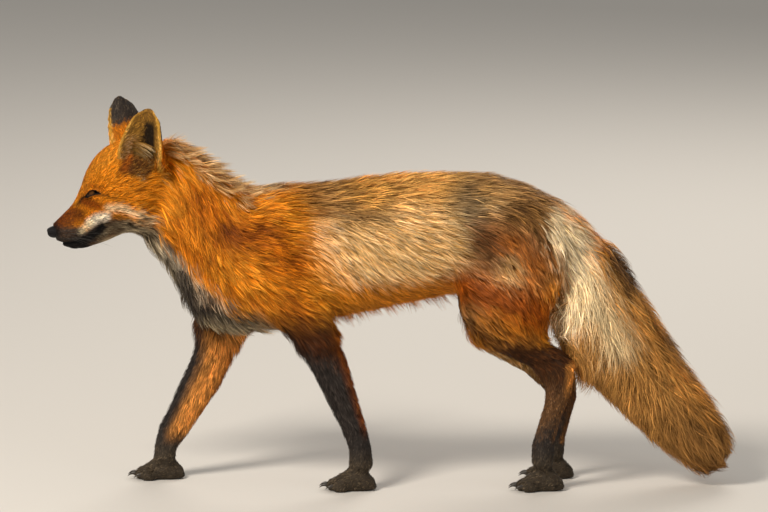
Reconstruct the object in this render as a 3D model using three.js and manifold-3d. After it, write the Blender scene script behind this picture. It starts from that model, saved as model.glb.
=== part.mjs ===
// A red fox, life size, stopped in the middle of a walking step.
// Millimetres, +Z up. The head points to -X and the left side of the animal faces -Y.
// The body is lofted out to the tips of the coat and parted by thin cuts into named pieces.
import * as THREE from 'three';
import { mergeVertices } from 'three/addons/utils/BufferGeometryUtils.js';
import Module from 'manifold-3d';

// ---- Driving dimensions ----
const CUT = 0.35; // width of the cuts that part the pieces
const EYE_RADIUS = 7.6;
const EYE_CENTRE = [-371, 20.5, 374.5]; // x, distance from the middle plane, z
const EAR_WALL = 5; // skin with the hair of both its faces
const EAR_WIDTH = 56; // across the opening at its widest
const FORE_TRACK = 36; // distance of each forefoot from the middle plane
const HIND_TRACK = 38;
const FOREPAW = { length: 66, width: 43, height: 31 };
const HINDPAW = { length: 64, width: 40, height: 30 };
const CLAW = { length: 9, radius: 1.8, droop: 20 }; // droop in degrees
const WORLD = 2400; // larger than the animal, for the cutting blocks

const COAT = {
  rust: 0xb5622a,
  buff: 0xb08d5c,
  grizzle: 0x8a6b48,
  black: 0x1d1a1b,
  tail: 0x9b7447,
  nose: 0x0d0c0d,
  eye: 0x6b3d12,
};

// ---- Sections ----
// A section is [x1, z1, x2, z2, y, half, low]: two opposite points of the outline seen from the side,
// the place of its middle across the body, its half width, and how far its widest place is moved
// towards the second point, as a share of its height.

// Back above belly, from inside the head to the rump.
const TORSO = [
  [-302, 438, -328, 328, 0, 40, 0],
  [-281, 454, -316, 314, 0, 44, 0],
  [-258, 448, -300, 299, 0, 45, 0.05],
  [-228, 429, -280, 279, 0, 48, 0.08],
  [-199, 405, -264, 250, 0, 53, 0.08],
  [-172, 388, -246, 214, 0, 58, 0.05],
  [-146, 385, -206, 197, 0, 61, 0],
  [-114, 385, -152, 199, 0, 64, 0],
  [-72, 387, -88, 209, 0, 65, 0],
  [-26, 394, -28, 221, 0, 64, 0],
  [24, 399, 24, 233, 0, 60, 0],
  [78, 399, 78, 243, 0, 57, -0.05],
  [126, 397, 124, 247, 0, 59, -0.08],
  [172, 383, 170, 244, 0, 59, -0.08],
  [214, 362, 208, 242, 0, 52, -0.05],
  [246, 339, 232, 262, 0, 38, 0],
];

// Forehead above lips and throat, from behind the nose to inside the neck.
const SKULL = [
  [-423, 330, -420, 313, 0, 8.5, 0],
  [-415, 338, -408, 308, 0, 13, 0.1],
  [-406, 347, -395, 308, 0, 15.5, 0.2],
  [-397, 357, -381, 310, 0, 18.5, 0.25],
  [-390, 370, -365, 314, 0, 24, 0.2],
  [-384, 386, -351, 317, 0, 32, 0.1],
  [-377, 404, -337, 319, 0, 39, 0.04],
  [-364, 422, -323, 319, 0, 45, 0.08],
  [-346, 435, -309, 317, 0, 49, 0.1],
  [-323, 441, -296, 316, 0, 50, 0.06],
  [-300, 440, -284, 320, 0, 46, 0],
];

// Mouth line above chin.
const LOWER_JAW = [
  [-408, 310, -405, 303.5, 0, 7, 0],
  [-400, 313, -397, 300.5, 0, 10, 0],
  [-386, 317, -382, 301.5, 0, 12.5, 0],
  [-371, 323, -368, 306, 0, 15.5, 0],
  [-355, 330, -350, 312, 0, 22, 0],
  [-338, 336, -333, 320, 0, 28, 0],
];

// Upper side in front of lower side, from inside the rump to the tip.
const TAIL = [
  [226, 342, 212, 290, 0, 22, 0],
  [248, 338, 206, 276, 0, 33, 0],
  [271, 316, 199, 250, 0, 42, 0],
  [295, 276, 196, 212, 0, 48, 0],
  [322, 230, 218, 168, 0, 51, 0],
  [347, 186, 250, 140, 0, 51, 0],
  [373, 146, 283, 110, 0, 47, 0],
  [398, 110, 316, 78, 0, 43, 0],
  [416, 82, 344, 52, 0, 37, 0],
  [426, 54, 366, 36, 0, 30, 0],
  [422, 33, 386, 22, 0, 20, 0],
];

// Front edge and back edge of the standing foreleg, from the shoulder blade to the pastern.
const NEAR_FORELEG = [
  [-176, 352, -112, 356, 38, 16, 0],
  [-202, 312, -96, 318, 44, 22, 0],
  [-206, 268, -84, 272, 45, 25, 0],
  [-172, 226, -72, 228, 42, 25, 0],
  [-126, 194, -70, 204, 39, 22, 0],
  [-108, 165, -56, 176, 37, 18, 0],
  [-93, 137, -47, 148, 36, 16, 0],
  [-78, 106, -38, 114, 36, 14.5, 0],
  [-62, 76, -29, 82, 36, 14, 0],
  [-53, 52, -23, 56, 36, 13, 0],
  [-53, 30, -20, 32, 36, 15, 0],
];

// The foreleg that reaches forward.
const FAR_FORELEG = [
  [-200, 352, -132, 348, 38, 16, 0],
  [-226, 308, -122, 304, 43, 22, 0],
  [-242, 262, -132, 258, 44, 25, 0],
  [-250, 216, -164, 206, 42, 24, 0],
  [-244, 186, -188, 182, 40, 20, 0],
  [-250, 160, -197, 148, 38, 17, 0],
  [-262, 133, -213, 116, 37, 15.5, 0],
  [-277, 100, -235, 84, 36, 14.5, 0],
  [-292, 68, -254, 56, 36, 14, 0],
  [-298, 44, -268, 38, 36, 13, 0],
  [-300, 26, -270, 24, 36, 15, 0],
];

// The nearer hind leg, from the hip to above the toes.
const NEAR_HINDLEG = [
  [120, 350, 206, 340, 30, 16, 0],
  [86, 314, 232, 300, 35, 26, 0],
  [74, 266, 219, 258, 37, 31, 0],
  [77, 226, 204, 220, 38, 29, 0],
  [99, 190, 193, 197, 38, 24, 0],
  [140, 173, 199, 188, 38, 18, 0],
  [172, 157, 216, 180, 38, 14, 0],
  [193, 132, 233, 162, 38, 12.5, 0],
  [191, 108, 228, 125, 38, 12, 0],
  [184, 84, 214, 92, 38, 11.5, 0],
  [176, 58, 207, 64, 38, 12.5, 0],
  [176, 34, 205, 34, 38, 15, 0],
];

// The farther hind leg, a little more bent.
const FAR_HINDLEG = [
  [120, 350, 206, 340, 30, 16, 0],
  [86, 314, 232, 300, 35, 26, 0],
  [74, 264, 219, 256, 37, 31, 0],
  [76, 218, 204, 210, 38, 29, 0],
  [96, 176, 194, 184, 38, 24, 0],
  [134, 153, 200, 168, 38, 18, 0],
  [168, 136, 216, 154, 38, 14, 0],
  [194, 112, 235, 136, 38, 12.5, 0],
  [198, 90, 236, 104, 38, 12, 0],
  [196, 68, 228, 76, 38, 11.5, 0],
  [192, 48, 222, 54, 38, 12.5, 0],
  [190, 30, 220, 30, 38, 15, 0],
];

function sectionAt(sections, share) {
  const last = sections.length - 1;
  const place = Math.min(Math.max(share * last, 0), last - 1e-6);
  const i = Math.floor(place);
  const u = place - i;
  const before = sections[Math.max(i - 1, 0)];
  const after = sections[Math.min(i + 2, last)];
  return sections[i].map((start, k) => {
    const end = sections[i + 1][k];
    const slopeIn = (end - before[k]) / 2;
    const slopeOut = (after[k] - start) / 2;
    const curve = (2 * (start - end) + slopeIn + slopeOut) * u + 3 * (end - start) - 2 * slopeIn - slopeOut;
    return start + slopeIn * u + curve * u * u;
  });
}

// The points of one section, its edge moved outwards by grow.
function ring(section, side, count, grow) {
  const [x1, z1, x2, z2, y, half, low] = section;
  const middle = new THREE.Vector3((x1 + x2) / 2, side * y, (z1 + z2) / 2);
  const up = new THREE.Vector3((x1 - x2) / 2, 0, (z1 - z2) / 2);
  up.setLength(up.length() + grow);
  const points = [];
  for (let i = 0; i < count; i += 1) {
    const angle = (2 * Math.PI * i) / count;
    const rise = Math.cos(angle);
    const across = Math.sin(angle) * (half + grow) * (1 - 2 * low * rise);
    points.push(middle.clone().addScaledVector(up, rise).add(new THREE.Vector3(0, across, 0)));
  }
  return points;
}

// A closed body through a list of rings, with a point at each end.
function skinRings(rings, start, end) {
  const count = rings[0].length;
  const points = [start, ...rings.flat(), end];
  const faces = [];
  const at = (r, i) => 1 + r * count + (i % count);
  for (let i = 0; i < count; i += 1) {
    faces.push(0, at(0, i + 1), at(0, i));
    for (let r = 0; r < rings.length - 1; r += 1) {
      faces.push(at(r, i), at(r, i + 1), at(r + 1, i + 1));
      faces.push(at(r, i), at(r + 1, i + 1), at(r + 1, i));
    }
    faces.push(points.length - 1, at(rings.length - 1, i), at(rings.length - 1, i + 1));
  }
  return solidFrom(points, faces);
}

function centreOf(points) {
  const sum = points.reduce((total, point) => total.add(point), new THREE.Vector3());
  return sum.divideScalar(points.length);
}

// Rings that round off an end: each is smaller and further out than the last.
function roundEnd(edge, beyond, length) {
  const centre = centreOf(edge);
  const direction = centre.clone().sub(beyond).normalize();
  const caps = [];
  for (const angle of [Math.PI / 6, Math.PI / 3]) {
    const moved = centre.clone().addScaledVector(direction, length * Math.sin(angle));
    caps.push(edge.map((point) => point.clone().sub(centre).multiplyScalar(Math.cos(angle)).add(moved)));
  }
  return { caps, tip: centre.addScaledVector(direction, length) };
}

function loft(sections, { side = 1, sides = 20, steps = 2, roundStart = 8, roundFinish = 8, grow = 0 } = {}) {
  const rings = [];
  const total = Math.round((sections.length - 1) * steps);
  for (let i = 0; i <= total; i += 1) {
    rings.push(ring(sectionAt(sections, i / total), side, sides, grow));
  }
  const start = roundEnd(rings[0], centreOf(rings[1]), roundStart + grow);
  const finish = roundEnd(rings[total], centreOf(rings[total - 1]), roundFinish + grow);
  return skinRings([...start.caps.reverse(), ...rings, ...finish.caps], start.tip, finish.tip);
}

// ---- Solids ----
const wasm = await Module();
wasm.setup();

// Six times the volume inside the faces: negative when they face inwards.
function signedVolume(points, faces) {
  let total = 0;
  for (let i = 0; i < faces.length; i += 3) {
    const [a, b, c] = [points[faces[i]], points[faces[i + 1]], points[faces[i + 2]]];
    total += a.dot(new THREE.Vector3().crossVectors(b, c));
  }
  return total;
}

function solidFrom(points, faces) {
  const outward = signedVolume(points, faces) > 0 ? faces : [...faces].reverse();
  const vertProperties = new Float32Array(points.flatMap((point) => [point.x, point.y, point.z]));
  const triVerts = new Uint32Array(outward);
  return new wasm.Manifold(new wasm.Mesh({ numProp: 3, vertProperties, triVerts }));
}

function solidFromGeometry(geometry) {
  const bare = geometry.index ? geometry.clone() : geometry;
  bare.deleteAttribute('normal');
  bare.deleteAttribute('uv');
  const merged = mergeVertices(bare, 1e-4);
  const mesh = new wasm.Mesh({
    numProp: 3,
    vertProperties: new Float32Array(merged.attributes.position.array),
    triVerts: new Uint32Array(merged.index.array),
  });
  return new wasm.Manifold(mesh);
}

function join(solids) {
  return solids.reduce((whole, solid) => whole.add(solid));
}

// All the space on one side of a plane through (x, z). The plane leans by lean degrees from upright.
function sideOf(x, z, lean, forward) {
  const block = new THREE.BoxGeometry(WORLD, WORLD, WORLD);
  const shift = (WORLD / 2 + CUT / 2) * (forward ? -1 : 1);
  block.translate(shift, 0, 0);
  block.rotateY(THREE.MathUtils.degToRad(lean));
  block.translate(x, 0, z);
  return solidFromGeometry(block);
}

// Parts a solid in two: what lies forward of the plane, and what lies behind it.
function cutAt(solid, x, z, lean) {
  return [solid.intersect(sideOf(x, z, lean, true)), solid.intersect(sideOf(x, z, lean, false))];
}

function ball(centre, radii, columns = 10, rows = 7) {
  const geometry = new THREE.SphereGeometry(1, columns, rows);
  geometry.scale(...radii);
  geometry.translate(...centre);
  return solidFromGeometry(geometry);
}

// ---- Paws ----
// Four toes in an arc in front of one broad pad, all with flat soles at z = 0.

// Sections as above, in shares of the paw's length, height and width, from the heel forwards.
const PAD = [
  [-0.03, 0.5, -0.03, 0.04, 0, 0.24, 0.1],
  [-0.2, 0.9, -0.2, -0.06, 0, 0.34, 0.1],
  [-0.42, 1, -0.42, -0.06, 0, 0.38, 0.1],
  [-0.6, 0.82, -0.6, -0.06, 0, 0.4, 0.1],
  [-0.76, 0.6, -0.74, 0, 0, 0.34, 0.1],
];
const TOE = { length: 0.17, width: 0.145, height: 0.29, sunk: 0.2 }; // shares of the paw, then of the toe
const TOES = [
  { across: -0.36, reach: 0.67, splay: -8 },
  { across: -0.13, reach: 0.79, splay: -2 },
  { across: 0.13, reach: 0.79, splay: 2 },
  { across: 0.36, reach: 0.67, splay: 8 },
];

function toe({ across, reach, splay }, size, heelX, y) {
  const long = size.length * TOE.length;
  const high = size.height * TOE.height;
  const flesh = new THREE.SphereGeometry(1, 6, 4);
  flesh.scale(long, size.width * TOE.width, high);
  const claw = new THREE.ConeGeometry(CLAW.radius, CLAW.length, 4);
  claw.rotateZ(THREE.MathUtils.degToRad(90 + CLAW.droop));
  claw.translate(-long - CLAW.length / 5, 0, 0);
  const parts = [flesh, claw].map((geometry) => {
    geometry.rotateZ(THREE.MathUtils.degToRad(-splay));
    geometry.translate(heelX - reach * size.length, y + across * size.width, high * (1 - TOE.sunk));
    return solidFromGeometry(geometry);
  });
  return join(parts);
}

function paw(size, heelX, y) {
  const sections = PAD.map(([x1, z1, x2, z2, middle, half, low]) => [
    heelX + x1 * size.length,
    z1 * size.height,
    heelX + x2 * size.length,
    z2 * size.height,
    y + middle,
    half * size.width,
    low,
  ]);
  const pad = loft(sections, { sides: 10, steps: 1, roundStart: 3, roundFinish: 6 });
  return join([pad, ...TOES.map((one) => toe(one, size, heelX, y))]);
}

// ---- Legs ----
// Each leg is its own loft with a paw. It is parted at elbow or knee and at wrist or hock by
// planes given as [x, z, lean].

const LEGS = [
  {
    names: ['shoulder_left', 'forearm_left', 'forefoot_left'],
    sections: NEAR_FORELEG, side: -1, paw: FOREPAW, heel: -18, track: FORE_TRACK,
    cuts: [[-90, 196, 70], [-44, 78, 75]],
  },
  {
    names: ['shoulder_right', 'forearm_right', 'forefoot_right'],
    sections: FAR_FORELEG, side: 1, paw: FOREPAW, heel: -260, track: FORE_TRACK,
    cuts: [[-216, 184, 112], [-273, 62, 115]],
  },
  {
    names: ['thigh_left', 'shank_left', 'hindfoot_left'],
    sections: NEAR_HINDLEG, side: -1, paw: HINDPAW, heel: 217, track: HIND_TRACK,
    cuts: [[146, 193, 86], [213, 147, 53]],
  },
  {
    names: ['thigh_right', 'shank_right', 'hindfoot_right'],
    sections: FAR_HINDLEG, side: 1, paw: HINDPAW, heel: 231, track: HIND_TRACK,
    cuts: [[145, 180, 85], [214, 124, 58]],
  },
];

function underfoot() {
  const ground = new THREE.BoxGeometry(WORLD, WORLD, WORLD);
  ground.translate(0, 0, -WORLD / 2);
  return solidFromGeometry(ground);
}

function limb(leg, grow = 0) {
  return loft(leg.sections, { side: leg.side, sides: 10, steps: 1, roundStart: 10, grow });
}

function legPieces(leg) {
  const foot = paw(leg.paw, leg.heel, leg.side * leg.track);
  const whole = limb(leg).add(foot).subtract(underfoot());
  const [upper, rest] = cutAt(whole, ...leg.cuts[0]);
  return [upper, ...cutAt(rest, ...leg.cuts[1])];
}

// ---- Ears ----
// A pointed leaf of skin curled round its long line: a deep cup at the root, nearly flat at the tip.
// Root and tip are x, distance from the middle plane and z. Facing is how far the opening is turned
// outwards from straight ahead, in degrees.

const EARS = [
  { name: 'ear_left', side: -1, root: [-313, 33, 401], tip: [-299, 53, 485], facing: 74 },
  { name: 'ear_right', side: 1, root: [-312, 33, 401], tip: [-342, 53, 484.5], facing: 60 },
];
const EAR_CURL = { root: 1.45, tip: 0.7 }; // half the angle of the curl, radians
const EAR_LEAF = 0.46; // how blunt the leaf is: lower is blunter
const EAR_WAIST = { width: 0.82, height: 0.36 }; // narrowing at the root, and where it ends
const EAR_LEAST_HALF = 2.5;
// How far the cup is sunk behind the ear's long line, as a share of its depth, and where that ends.
const EAR_SINK = { root: 0.95, tip: 0.45, height: 0.45 };

// One point of the ear: u runs from edge to edge (-1 to 1), v from root to tip (0 to 1).
function earPoint(frame, u, v, depth) {
  const opened = Math.sin((Math.PI / 2) * Math.min(v / EAR_WAIST.height, 1));
  const waist = THREE.MathUtils.lerp(EAR_WAIST.width, 1, opened);
  const leaf = Math.pow(1 - Math.min(v * v, 1), EAR_LEAF);
  const half = Math.max((EAR_WIDTH / 2) * waist * leaf, EAR_LEAST_HALF);
  const curl = THREE.MathUtils.lerp(EAR_CURL.root, EAR_CURL.tip, v);
  const radius = half / Math.sin(curl);
  const wall = depth * EAR_WALL * (1 - 0.35 * v);
  const cupDepth = radius * (1 - Math.cos(curl));
  const across = (radius + wall) * Math.sin(u * curl);
  const sink = THREE.MathUtils.lerp(EAR_SINK.root, EAR_SINK.tip, Math.min(v / EAR_SINK.height, 1));
  const forward = radius - (radius + wall) * Math.cos(u * curl) - sink * cupDepth;
  return frame.root
    .clone()
    .addScaledVector(frame.across, across)
    .addScaledVector(frame.open, forward)
    .addScaledVector(frame.long, v * frame.height);
}

function earFrame(ear) {
  const root = new THREE.Vector3(ear.root[0], ear.side * ear.root[1], ear.root[2]);
  const tip = new THREE.Vector3(ear.tip[0], ear.side * ear.tip[1], ear.tip[2]);
  const long = tip.clone().sub(root);
  const height = long.length();
  long.normalize();
  const turn = THREE.MathUtils.degToRad(ear.facing);
  const open = new THREE.Vector3(-Math.cos(turn), ear.side * Math.sin(turn), 0);
  open.addScaledVector(long, -open.dot(long)).normalize();
  const across = new THREE.Vector3().crossVectors(open, long);
  return { root, long, open, across, height };
}

function earSolid(ear, columns = 8, rows = 7) {
  const frame = earFrame(ear);
  const points = [];
  for (const depth of [0, 1]) {
    for (let r = 0; r <= rows; r += 1) {
      for (let c = 0; c <= columns; c += 1) {
        points.push(earPoint(frame, (2 * c) / columns - 1, r / rows, depth));
      }
    }
  }
  const row = columns + 1;
  const back = row * (rows + 1);
  const faces = [];
  const quad = (a, b, c, d) => faces.push(a, b, c, a, c, d);
  for (let r = 0; r < rows; r += 1) {
    for (let c = 0; c < columns; c += 1) {
      const a = r * row + c;
      quad(a, a + row, a + row + 1, a + 1);
      quad(back + a, back + a + 1, back + a + row + 1, back + a + row);
    }
    const left = r * row;
    const right = left + columns;
    quad(left, back + left, back + left + row, left + row);
    quad(right, right + row, back + right + row, back + right);
  }
  for (let c = 0; c < columns; c += 1) {
    const top = rows * row + c;
    quad(c, c + 1, back + c + 1, back + c);
    quad(top, back + top, back + top + 1, top + 1);
  }
  return solidFrom(points, faces);
}

// ---- Head ----
// Skull and lower jaw in one coat, parted along the closed mouth, with sockets for nose and eyes.

const NOSE_CENTRE = [-421, 0, 321];
const NOSE_RADII = [9, 9.5, 8.5];
const MOUTH = [
  [-440, 307],
  [-409, 308.5],
  [-390, 311],
  [-375, 318],
  [-358, 334],
  [-343, 303],
  [-440, 273],
];
const JAW_DROP = [-0.1, 0, -0.5]; // opens the cut along the mouth to about CUT on every side

function mouthBlock() {
  const outline = new THREE.Shape(MOUTH.map(([x, z]) => new THREE.Vector2(x, z)));
  const block = new THREE.ExtrudeGeometry(outline, { depth: WORLD, bevelEnabled: false });
  block.rotateX(Math.PI / 2);
  block.translate(0, WORLD / 2, 0);
  return solidFromGeometry(block);
}

function eyeBall(side, grow = 0) {
  const radius = EYE_RADIUS + grow;
  return ball([EYE_CENTRE[0], side * EYE_CENTRE[1], EYE_CENTRE[2]], [radius, radius, radius]);
}

// ---- Assembly ----
// How finely each loft is built, and how far its ends are rounded.

const HEAD_LOFT = { sides: 18, steps: 1.6, roundStart: 2, roundFinish: 6 };
const JAW_LOFT = { sides: 12, steps: 1, roundStart: 3, roundFinish: 5 };
const TORSO_LOFT = { sides: 18, steps: 1, roundStart: 6, roundFinish: 10 };
const TAIL_LOFT = { sides: 12, steps: 1, roundStart: 4, roundFinish: 12 };
const NAPE_CUT = [-292, 400, 12];
const WITHERS_CUT = [-208, 302, 23];

function body(grow = 0) {
  return join([
    loft(TORSO, { ...TORSO_LOFT, grow }),
    loft(SKULL, { ...HEAD_LOFT, grow }),
    loft(LOWER_JAW, { ...JAW_LOFT, grow }),
  ]);
}

function fleshPieces() {
  const pieces = {};
  const limbRooms = join(LEGS.map((leg) => limb(leg, CUT)));
  const room = body(CUT);
  const [front, behind] = cutAt(body().subtract(limbRooms), ...WITHERS_CUT);
  const [face, neck] = cutAt(front, ...NAPE_CUT);
  const noseRoom = ball(NOSE_CENTRE, NOSE_RADII.map((radius) => radius + CUT));
  const sockets = join([noseRoom, eyeBall(1, CUT), eyeBall(-1, CUT)]);
  const mouth = mouthBlock();
  pieces.head = face.subtract(mouth).subtract(sockets);
  pieces.lower_jaw = face.intersect(mouth.translate(JAW_DROP));
  pieces.neck = neck;
  pieces.trunk = behind;
  pieces.tail = loft(TAIL, TAIL_LOFT).subtract(room).subtract(limbRooms);
  pieces.nose = ball(NOSE_CENTRE, NOSE_RADII);
  pieces.eye_left = eyeBall(-1);
  pieces.eye_right = eyeBall(1);
  for (const ear of EARS) {
    pieces[ear.name] = earSolid(ear).subtract(room);
  }
  for (const leg of LEGS) {
    legPieces(leg).forEach((piece, i) => {
      pieces[leg.names[i]] = piece;
    });
  }
  return pieces;
}

const FINISH = {
  head: COAT.rust,
  lower_jaw: COAT.black,
  neck: COAT.rust,
  trunk: COAT.grizzle,
  tail: COAT.tail,
  nose: COAT.nose,
  eye_left: COAT.eye,
  eye_right: COAT.eye,
  ear_left: COAT.buff,
  ear_right: COAT.black,
};

function colourOf(name) {
  if (name in FINISH) return FINISH[name];
  return name.startsWith('shoulder') || name.startsWith('thigh') ? COAT.rust : COAT.black;
}

function meshOf(name, solid) {
  const { vertProperties, triVerts } = solid.getMesh();
  const geometry = new THREE.BufferGeometry();
  geometry.setAttribute('position', new THREE.BufferAttribute(vertProperties, 3));
  geometry.setIndex(new THREE.BufferAttribute(triVerts, 1));
  const glossy = name.startsWith('eye') || name === 'nose';
  const material = new THREE.MeshStandardMaterial({
    color: colourOf(name),
    roughness: glossy ? 0.25 : 0.85,
    metalness: 0,
  });
  const mesh = new THREE.Mesh(geometry, material);
  mesh.name = name;
  return mesh;
}

const fox = new THREE.Group();
for (const [name, solid] of Object.entries(fleshPieces())) {
  fox.add(meshOf(name, solid));
}
const box = new THREE.Box3().setFromObject(fox);
const middle = box.getCenter(new THREE.Vector3());
fox.position.set(-middle.x, -middle.y, -box.min.z);
fox.updateMatrixWorld(true);

export default fox;
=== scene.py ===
import math

import bmesh
import bpy
import numpy as np
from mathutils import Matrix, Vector
from mathutils.bvhtree import BVHTree
from mathutils.kdtree import KDTree


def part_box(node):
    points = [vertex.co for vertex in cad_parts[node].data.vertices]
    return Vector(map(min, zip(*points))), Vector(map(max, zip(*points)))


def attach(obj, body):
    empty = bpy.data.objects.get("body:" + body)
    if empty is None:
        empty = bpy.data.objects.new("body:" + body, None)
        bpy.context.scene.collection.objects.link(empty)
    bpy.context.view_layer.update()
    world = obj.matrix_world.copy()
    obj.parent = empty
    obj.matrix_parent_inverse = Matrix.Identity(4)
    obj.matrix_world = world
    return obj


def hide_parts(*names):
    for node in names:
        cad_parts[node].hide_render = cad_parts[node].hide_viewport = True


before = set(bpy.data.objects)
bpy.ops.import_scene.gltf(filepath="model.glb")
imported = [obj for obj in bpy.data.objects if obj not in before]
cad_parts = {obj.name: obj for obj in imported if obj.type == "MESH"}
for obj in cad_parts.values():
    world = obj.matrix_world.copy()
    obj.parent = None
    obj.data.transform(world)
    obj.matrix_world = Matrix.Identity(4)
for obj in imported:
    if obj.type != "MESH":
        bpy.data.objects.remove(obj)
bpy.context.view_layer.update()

# ---------------------------------------------------------------- Stand
# A pale floor for the animal to stand on, lit by one large soft lamp high on the left,
# a weak one on the right and an even sky. The camera looks at the animal's left side from
# a little above its back, from far off with a long lens.


class Socket:
    """One output of a shader node. A sum or a product of it adds the node that works it out."""

    def __init__(self, tree, output):
        self.tree, self.output = tree, output

    def node(self, kind, settings=None, out=0, **inputs):
        """The chosen output of a new node; its inputs are values or sockets, by name or by number as i0."""
        made = self.tree.nodes.new(kind)
        for name, value in (settings or {}).items():
            setattr(made, name, value)
        for name, value in inputs.items():
            socket = made.inputs[int(name[1:]) if name[1:].isdigit() else name.replace("_", " ")]
            if isinstance(value, Socket):
                self.tree.links.new(value.output, socket)
            else:
                socket.default_value = value
        return Socket(self.tree, made.outputs[out])

    def __add__(self, other):
        return self.node("ShaderNodeMath", {"operation": "ADD"}, i0=self, i1=other)

    def __mul__(self, other):
        return self.node("ShaderNodeMath", {"operation": "MULTIPLY"}, i0=self, i1=other)

    __radd__, __rmul__ = __add__, __mul__

    def blend(self, first, second):
        """Colour first where this is 0 and second where it is 1."""
        return self.node("ShaderNodeMix", {"data_type": "RGBA"}, 2, i0=self, i6=first, i7=second)

    def into(self, shader, name):
        self.tree.links.new(self.output, shader.inputs[name])


def finish_of(name, **fixed):
    """A new material, its shader with the values that are fixed, and a socket to build nodes from."""
    material = bpy.data.materials.new(name)
    material.use_nodes = True
    shader = material.node_tree.nodes["Principled BSDF"]
    for key, value in fixed.items():
        shader.inputs[key.replace("_", " ")].default_value = value
    return material, shader, Socket(material.node_tree, None)


def placed(name, data):
    """A new object in the scene, of a mesh, a camera or a lamp."""
    made = bpy.data.objects.new(name, data)
    bpy.context.collection.objects.link(made)
    return made


HALF_FLOOR = 30
floor_corners = [(x * HALF_FLOOR, y * HALF_FLOOR, 0) for x, y in ((-1, -1), (1, -1), (1, 1), (-1, 1))]
floor_mesh = bpy.data.meshes.new("floor")
floor_mesh.from_pydata(floor_corners, [], [(0, 1, 2, 3)])
floor = placed("floor", floor_mesh)
floor_paint, _, _ = finish_of("pale_floor", Base_Color=(0.66, 0.64, 0.61, 1), Roughness=0.9)
floor_mesh.materials.append(floor_paint)

MIDDLE = Vector((-0.006, 0, 0.291))
CAMERA_RISE, CAMERA_AWAY = math.radians(10), 9
SENSOR, LENS = 36, 337.5  # in mm
camera = placed("camera", bpy.data.cameras.new("camera"))
camera.data.sensor_width, camera.data.lens = SENSOR, LENS
back = Vector((0, -math.cos(CAMERA_RISE), math.sin(CAMERA_RISE)))
camera.location = MIDDLE + back * CAMERA_AWAY
camera.rotation_euler = back.to_track_quat("Z", "Y").to_euler()
bpy.context.scene.camera = camera

LAMPS = [  # place, side of the lamp in metres, watts, colour
    ((-1.7, -1.9, 2.7), 0.9, 112, (1, 0.91, 0.79)),
    ((2.4, -2.0, 1.2), 2.0, 9, (1, 0.95, 0.9)),
    ((0.8, 2.4, 2.2), 1.6, 40, (1, 0.93, 0.84)),
]
for number, (place, side, power, colour) in enumerate(LAMPS):
    lamp = bpy.data.lights.new(f"lamp_{number}", "AREA")
    lamp.size, lamp.energy, lamp.color = side, power, colour
    holder = placed(f"lamp_{number}", lamp)
    holder.location = place
    holder.rotation_euler = (Vector(place) - MIDDLE).to_track_quat("Z", "Y").to_euler()

SKY_COLOUR, SKY_STRENGTH = (1, 0.97, 0.92, 1), 0.32
sky = bpy.data.worlds.new("sky")
sky.use_nodes = True
sky.node_tree.nodes["Background"].inputs["Color"].default_value = SKY_COLOUR
sky.node_tree.nodes["Background"].inputs["Strength"].default_value = SKY_STRENGTH
bpy.context.scene.world = sky
bpy.context.scene.view_settings.view_transform = "Standard"

# ---------------------------------------------------------------- Skin
# One closed skin over the whole animal, from the lips to the tip of the tail. It follows the
# solids of the flesh, rounded where they are faceted, and lies under them by the depth of
# the coat. It runs under the claws and round the eyeballs without a seam.

MM = 0.001
FLESH = ["head", "lower_jaw", "neck", "trunk", "tail"]
for limb in ["shoulder", "forearm", "forefoot", "thigh", "shank", "hindfoot", "ear"]:
    FLESH += [f"{limb}_left", f"{limb}_right"]
BALLS = ["eye_left", "eye_right", "nose"]
SKIN_GRAIN = 2.5  # width of the skin's meshes in mm, before the face is divided
OVERLAP = 0.55  # how far each solid is swollen in mm, so that neighbours join


def arrays_of(mesh):
    """Points in mm and triangles of a mesh."""
    points = np.zeros(len(mesh.vertices) * 3)
    mesh.vertices.foreach_get("co", points)
    mesh.calc_loop_triangles()
    triangles = np.zeros(len(mesh.loop_triangles) * 3, dtype=np.int32)
    mesh.loop_triangles.foreach_get("vertices", triangles)
    return points.reshape(-1, 3) / MM, triangles.reshape(-1, 3)


def edges_of(mesh):
    edges = np.zeros(len(mesh.edges) * 2, dtype=np.int32)
    mesh.edges.foreach_get("vertices", edges)
    return edges.reshape(-1, 2)


def normals_of(mesh):
    normals = np.zeros(len(mesh.vertices) * 3, dtype=np.float32)
    mesh.vertex_normals.foreach_get("vector", normals)
    return normals.reshape(-1, 3).astype(float)


def set_points(mesh, points):
    mesh.vertices.foreach_set("co", (points * MM).astype(np.float32).ravel())


def piece_from(name, points, faces):
    """A shown piece from points in mm and rows of corners."""
    mesh = bpy.data.meshes.new(name)
    count, corners = faces.shape
    mesh.vertices.add(len(points))
    set_points(mesh, points)
    mesh.loops.add(count * corners)
    mesh.loops.foreach_set("vertex_index", faces.astype(np.int32).ravel())
    mesh.polygons.add(count)
    mesh.polygons.foreach_set("loop_start", np.arange(0, count * corners, corners, dtype=np.int32))
    mesh.polygons.foreach_set("use_smooth", np.ones(count, dtype=bool))
    mesh.update(calc_edges=True)
    return placed(name, mesh)


def worked(piece):
    """The mesh of a piece with its modifiers worked out. The piece itself goes."""
    mesh = bpy.data.meshes.new_from_object(piece.evaluated_get(bpy.context.evaluated_depsgraph_get()))
    bpy.data.objects.remove(piece)
    return mesh


def unit(vectors):
    return vectors / np.maximum(np.linalg.norm(vectors, axis=-1, keepdims=True), 1e-9)


def step(low, high, values):
    """0 below low, 1 above high and smooth between."""
    share = np.clip((values - low) / (high - low), 0, 1)
    return share * share * (3 - 2 * share)


def span(start, full, fade, end, values):
    """1 from full to fade, and 0 below start and above end."""
    return step(start, full, values) * (1 - step(fade, end, values))


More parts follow.
